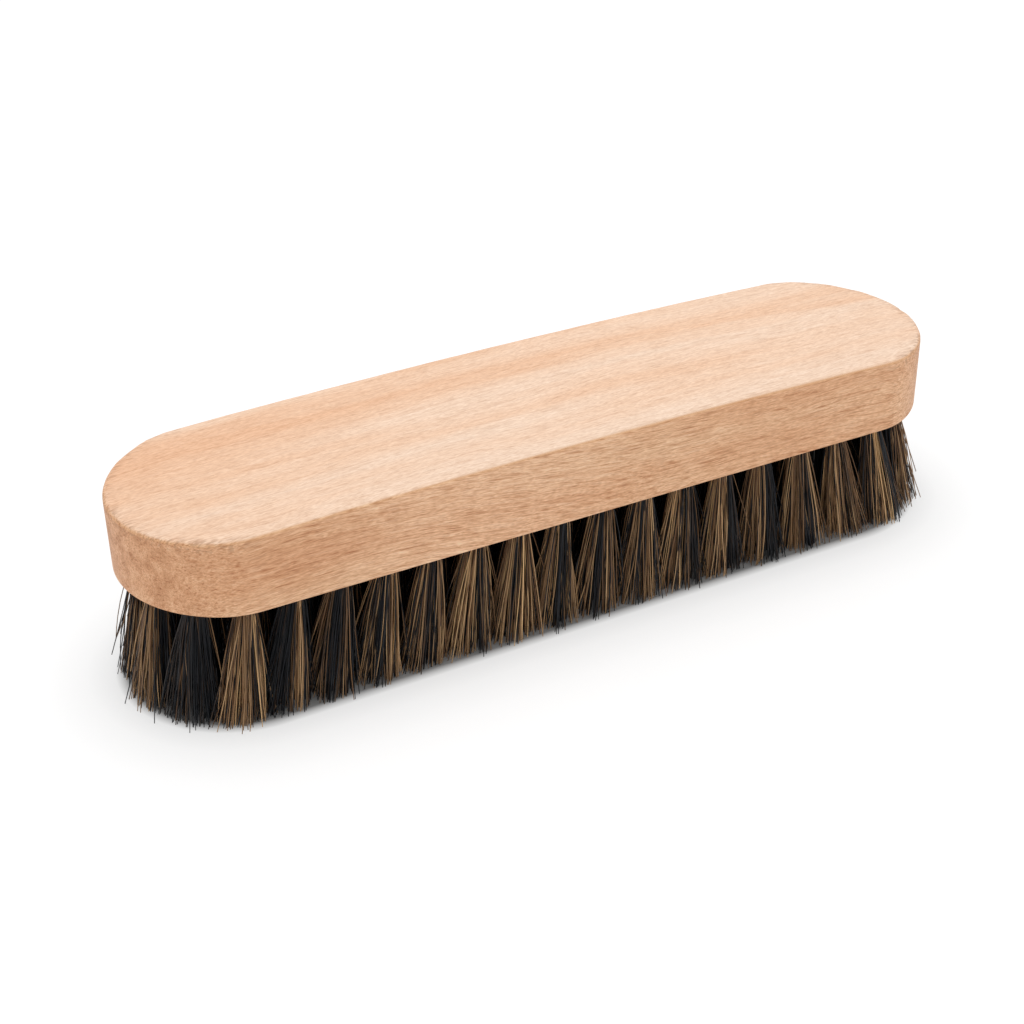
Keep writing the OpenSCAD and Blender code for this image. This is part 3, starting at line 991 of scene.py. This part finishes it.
def floor_glow_and_painted_shadow(tree):
    """How brightly the floor shines by itself, by its distance from the line below the brush: dim under and
    round the brush, as a painted shadow.
    """
    place = vectors(tree, "ABSOLUTE", millimetres(tree))
    beyond = vectors(tree, "SUBTRACT", place, (GLOW_LINE, 0.0, 0.0))
    beyond = vectors(tree, "MAXIMUM", beyond, (0.0, 0.0, 0.0))
    away = put(tree, "VectorMath", {0: beyond}, operation="LENGTH").outputs["Value"]
    share = maths(tree, "MULTIPLY_ADD", away, 1 / GLOW_REACH, -GLOW_START / GLOW_REACH)
    return ramp(tree, share, [(at, grey(value)) for at, value in GLOW_AND_PAINTED_SHADOW])


def make_floor():
    """The white floor, which has a painted shadow as well as real shade under the brush, and can be looked
    through from below.
    """
    material, tree, shader = new_material("white_table")
    tree.nodes.remove(shader)
    bounced = put(tree, "BsdfDiffuse", {"Color": (*grey(FLOOR_BOUNCED), 1.0)}).outputs[0]
    shadowed = put(tree, "BsdfDiffuse", {"Color": (*grey(FLOOR_SEEN), 1.0)}).outputs[0]
    white = (1.0, 1.0, 1.0, 1.0)
    # Painted shadow: the floor's own shine is dimmed to almost nothing under and round the brush
    glow_and_painted_shadow = put(tree, "Emission", {"Color": white, "Strength": floor_glow_and_painted_shadow(tree)}).outputs[0]
    seen = put(tree, "AddShader", {0: shadowed, 1: glow_and_painted_shadow}).outputs[0]
    above = by_ray(tree, seen, bounced)
    from_below = put(tree, "NewGeometry").outputs["Backfacing"]
    clear = put(tree, "BsdfTransparent").outputs[0]
    mixed = put(tree, "MixShader", {0: from_below, 1: above, 2: clear}).outputs[0]
    tree.links.new(mixed, tree.nodes["Material Output"].inputs["Surface"])
    ways = ((-1, -1), (1, -1), (1, 1), (-1, 1))
    corners = [(x * FLOOR_HALF, y * FLOOR_HALF, 0) for x, y in ways]
    floor = make_piece("floor", corners, [(0, 1, 2, 3)], [material])


def make_lamp(name, location, aim, size, power):
    """A square soft box that points at a spot on the brush."""
    data = bpy.data.lights.new(name, "AREA")
    data.size = size
    data.energy = power
    lamp = bpy.data.objects.new(name, data)
    lamp.location = location
    way = lamp.location - type(lamp.location)(aim)
    lamp.rotation_mode = "QUATERNION"
    lamp.rotation_quaternion = way.to_track_quat("Z", "Y")
    bpy.context.scene.collection.objects.link(lamp)


def make_camera():
    """The camera, which stands where the photograph was taken from."""
    data = bpy.data.cameras.new("camera")
    data.sensor_width = 36.0
    data.lens = CAMERA_LENS
    data.clip_start = 0.01
    camera = bpy.data.objects.new("camera", data)
    camera.location = CAMERA_PLACE
    camera.rotation_euler = [math.radians(angle) for angle in CAMERA_TURN]
    bpy.context.scene.collection.objects.link(camera)
    bpy.context.scene.camera = camera


# Putting the brush together

def make_tufts(finish):
    """Hair for every tuft of the part. Returns the places of all tufts."""
    outer, step = outer_rows()
    names = ("front_tuft", "back_tuft", "left_end_tuft", "right_end_tuft")
    seed = 100
    for name, row, letters in zip(names, outer, (FRONT_HAIR, BACK_HAIR, LEFT_HAIR, RIGHT_HAIR)):
        for i, place in enumerate(row):
            node = f"{name}_{i + 1:02d}"
            make_hair(f"{node}_hair", node, [place], [letters[i]], OUTER_TUFT, seed, finish)
            seed += 1
    inner = inner_rows(step)
    for name, row in zip(("inner_front_tufts", "inner_back_tufts", "middle_tufts"), inner):
        make_hair(f"{name}_hair", name, row, INNER_HAIR, INNER_TUFT, seed, finish)
        seed += 1
    return [place for row in outer + inner for place in row]


bpy.context.scene.view_settings.view_transform = "Standard"
make_camera()
make_world()
make_floor()
make_lamp("soft_box", location=(0.10, 0.25, 0.95), aim=(0, 0, 0.03), size=0.9, power=3.3)

figure = beech_figure()
places = make_tufts(horsehair())
make_block(np.random.default_rng(7), places, planed_beech(figure), drilled_beech(figure))
steel = staple_steel()
for name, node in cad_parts.items():
    if name.endswith("staples"):
        for slot in node.material_slots:
            slot.material = steel
